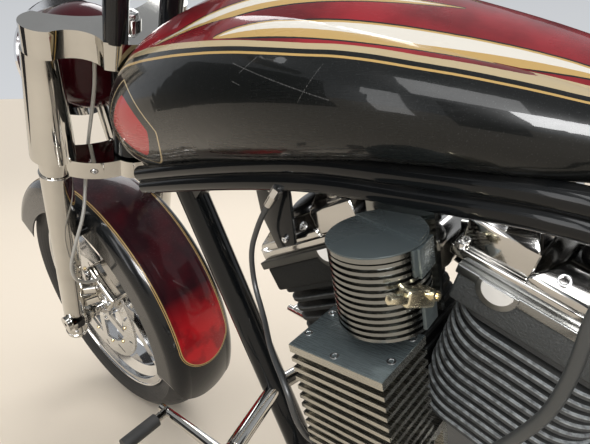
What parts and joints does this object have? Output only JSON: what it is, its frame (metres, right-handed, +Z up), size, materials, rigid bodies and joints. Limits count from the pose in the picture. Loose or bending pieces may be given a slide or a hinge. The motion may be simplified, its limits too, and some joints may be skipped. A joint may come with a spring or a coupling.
{
  "type": "chopper motorcycle",
  "caption": "Long low motorcycle with a raked fork, V-twin engine, teardrop tank and belt drive, leaning on its side stand.",
  "frame": {"origin": "middle of the footprint of the whole machine, on the floor it stands on", "axes": "+X towards the front wheel, +Y to the rider's left, +Z up; the machine leans 13.5 degrees to its left, about X"},
  "size_m": [2.4745, 0.9204, 1.372],
  "materials": {
    "tyre": "glossy black rubber",
    "wheel_chrome": "polished",
    "disc_steel": "ground and slotted",
    "fork_chrome": "polished",
    "riser_black": "gloss black",
    "candy_red": "gloss candy red",
    "tank_paint": "gloss black under candy red with a gold stripe",
    "frame_black": "gloss black",
    "fin_black": "textured black with bright fin edges",
    "engine_chrome": "polished",
    "engine_grey": "cast, satin",
    "cooler_aluminium": "machined",
    "exhaust_chrome": "polished",
    "grip_rubber": "ribbed",
    "hose_rubber": "satin",
    "belt_rubber": "matte",
    "seat_leather": "black, soft",
    "lamp_glass": "clear",
    "lamp_red": "red lens",
    "plate_white": "blank plate"
  },
  "bodies": {
    "chassis": {"rear_fender": "candy_red", "frame_rails": "frame_black", "down_tube": "frame_black", "steering_neck": "frame_black", "seat_posts": "frame_black", "rear_frame_tubes": "frame_black", "fender_struts": "frame_black", "crankcase": "engine_grey", "front_cylinder": "fin_black", "rear_cylinder": "fin_black", "rocker_boxes": "engine_chrome", "cam_cover": "engine_chrome", "air_cleaner": "engine_chrome", "primary_cover": "engine_chrome", "gearbox": "engine_grey", "engine_mounts": "frame_black", "finned_drum": "cooler_aluminium", "finned_cooler": "cooler_aluminium", "front_exhaust": "exhaust_chrome", "rear_exhaust": "exhaust_chrome", "fuel_tank": "tank_paint", "filler_cap": "engine_chrome", "seat": "seat_leather", "oil_tank": "frame_black", "drive_belt": "belt_rubber", "rear_axle": "fork_chrome", "rear_caliper": "engine_chrome", "engine_hoses": "hose_rubber", "foot_controls": "engine_chrome", "peg_rubbers": "grip_rubber", "tail_lamp": "lamp_red", "number_plate": "plate_white", "lower_cradle": "frame_black"},
    "fork": {"fork_legs": "fork_chrome", "front_axle": "fork_chrome", "top_clamp": "fork_chrome", "lower_clamp": "fork_chrome", "fork_covers": "fork_chrome", "handlebar": "fork_chrome", "risers": "riser_black", "grips": "grip_rubber", "hand_levers": "fork_chrome", "headlamp_shell": "candy_red", "headlamp_bezel": "fork_chrome", "headlamp_lens": "lamp_glass", "front_fender": "candy_red", "front_caliper": "engine_chrome", "brake_hose": "hose_rubber"},
    "front_wheel": {"front_tyre": "tyre", "front_rim": "wheel_chrome", "front_disc": "disc_steel"},
    "rear_wheel": {"rear_tyre": "tyre", "rear_rim": "wheel_chrome", "rear_disc": "disc_steel", "wheel_pulley": "cooler_aluminium"},
    "stand": {"side_stand": "engine_chrome"}
  },
  "joints": [
    {"name": "steering", "type": "hinge", "parent": "chassis", "child": "fork", "pos_m": [0.60055, -0.0549, 0.76742], "axis": [-0.4848, 0.2042, 0.8505], "range_deg": [-30, 30]},
    {"name": "front_wheel_spin", "type": "hinge", "parent": "fork", "child": "front_wheel", "pos_m": [0.91728, -0.16395, 0.31317], "axis": [0, 0.9724, -0.2334], "continuous": true},
    {"name": "rear_wheel_spin", "type": "hinge", "parent": "chassis", "child": "rear_wheel", "pos_m": [-0.84272, -0.16218, 0.32056], "axis": [0, 0.9724, -0.2334], "continuous": true},
    {"name": "stand_fold", "type": "hinge", "parent": "chassis", "child": "stand", "pos_m": [0.17728, -0.06658, 0.06766], "axis": [0, 0.2334, 0.9724], "range_deg": [0, 100]}
  ]
}
